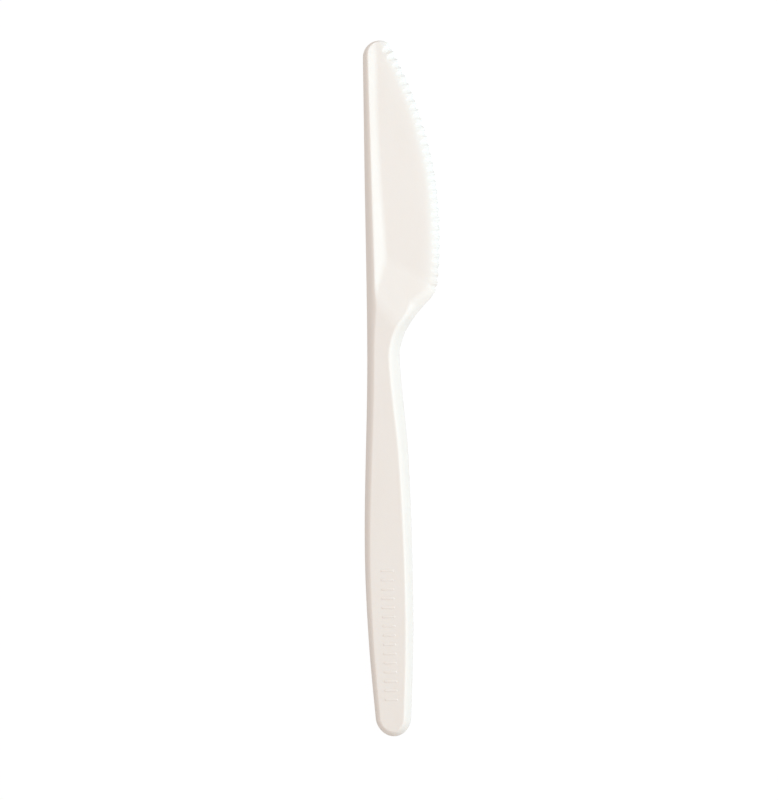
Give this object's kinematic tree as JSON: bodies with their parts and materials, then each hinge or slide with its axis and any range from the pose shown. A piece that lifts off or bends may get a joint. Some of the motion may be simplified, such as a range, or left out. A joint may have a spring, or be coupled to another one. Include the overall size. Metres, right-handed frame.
{
  "type": "disposable plastic knife",
  "caption": "Disposable moulded plastic table knife with a serrated belly, a ribbed spine and a channelled handle, lying on its flat back.",
  "frame": {"origin": "centre of the knife's bounding box, on the plane of its flat back", "axes": "+Y along the knife towards the tip of the blade, +X towards the cutting edge, +Z out of the moulded front"},
  "size_m": [0.0186, 0.168, 0.0048],
  "materials": {
    "plastic": "satin off-white moulded bioplastic"
  },
  "bodies": {
    "root": {"knife": "plastic"}
  },
  "joints": []
}
